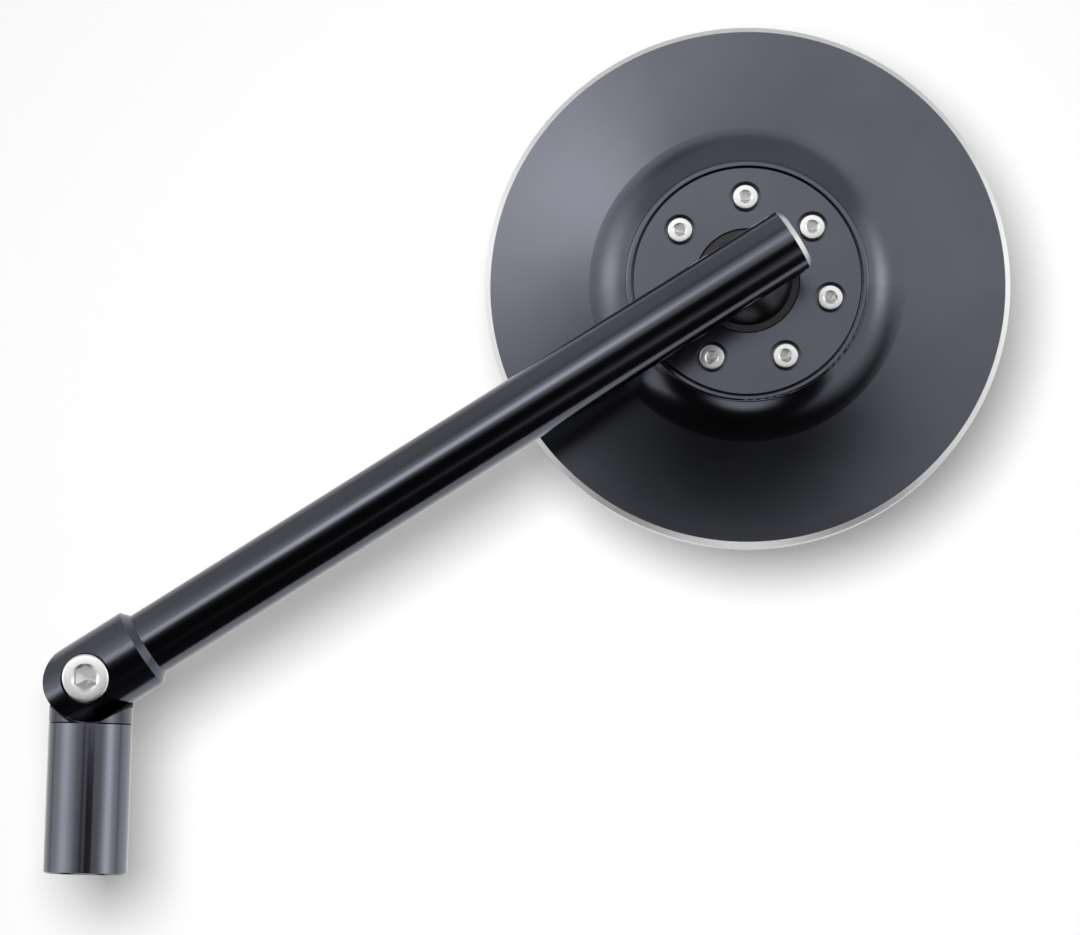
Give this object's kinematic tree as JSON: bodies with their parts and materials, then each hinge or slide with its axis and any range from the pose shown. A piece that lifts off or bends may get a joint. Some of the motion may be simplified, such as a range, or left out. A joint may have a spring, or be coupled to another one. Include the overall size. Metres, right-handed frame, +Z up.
{
  "type": "motorcycle mirror",
  "caption": "Round motorcycle mirror: black flared head with bare bevelled rim and convex glass, on a ball joint, straight arm, half-lap knuckle and threaded stem sleeve.",
  "frame": {"origin": "centre of the mouth of the stem sleeve's threaded hole, on the sleeve's lower end face", "axes": "+Z up along the stem, +X to the side that the arm leans to, +Y the way the glass faces"},
  "size_m": [0.1731, 0.0382, 0.1609],
  "materials": {
    "sleeve_black": "black anodised, satin",
    "knuckle_black": "black anodised, semi-gloss",
    "arm_black": "black anodised, semi-gloss, bare bevelled end",
    "plate_black": "black anodised, satin",
    "housing_black": "black anodised, semi-gloss, bare bevelled rim",
    "stainless": "bright stainless",
    "stud_steel": "black oxide",
    "seat_polymer": "satin",
    "washer_fibre": "matt",
    "mirror_glass": "polished convex",
    "tape": "matt foam"
  },
  "bodies": {
    "stem": {"stem_sleeve": "sleeve_black"},
    "knuckle": {"lower_knuckle": "knuckle_black", "stem_screw": "stainless", "pivot_screw": "stainless", "pivot_washer": "washer_fibre"},
    "arm": {"arm_knuckle": "knuckle_black", "arm_rod": "arm_black", "ball_stud": "stud_steel"},
    "front_seat": {"front_ball_seat": "seat_polymer"},
    "rear_seat": {"rear_ball_seat": "seat_polymer"},
    "head": {"mirror_housing": "housing_black", "clamp_plate": "plate_black", "clamp_screws": "stainless", "mirror_glass": "mirror_glass", "glass_tape": "tape"}
  },
  "joints": [
    {"name": "base_swivel", "type": "hinge", "parent": "stem", "child": "knuckle", "pos_m": [0, 0, 0.0268], "axis": [0, 0, 1], "range_deg": [-90, 90]},
    {"name": "knuckle_pivot", "type": "hinge", "parent": "knuckle", "child": "arm", "pos_m": [0, 0, 0.0349], "axis": [0, -1, 0], "range_deg": [-7, 120]},
    {"name": "head_roll", "type": "hinge", "parent": "arm", "child": "front_seat", "pos_m": [0.11633, 0.0198, 0.11189], "axis": [0.8339, 0, 0.5519], "range_deg": [-20, 20]},
    {"name": "head_nod", "type": "hinge", "parent": "front_seat", "child": "rear_seat", "pos_m": [0.11633, 0.0198, 0.11189], "axis": [-0.5519, 0, 0.8339], "range_deg": [-16, 16]},
    {"name": "head_spin", "type": "hinge", "parent": "rear_seat", "child": "head", "pos_m": [0.11633, 0.0198, 0.11189], "axis": [0, 1, 0], "continuous": true}
  ]
}
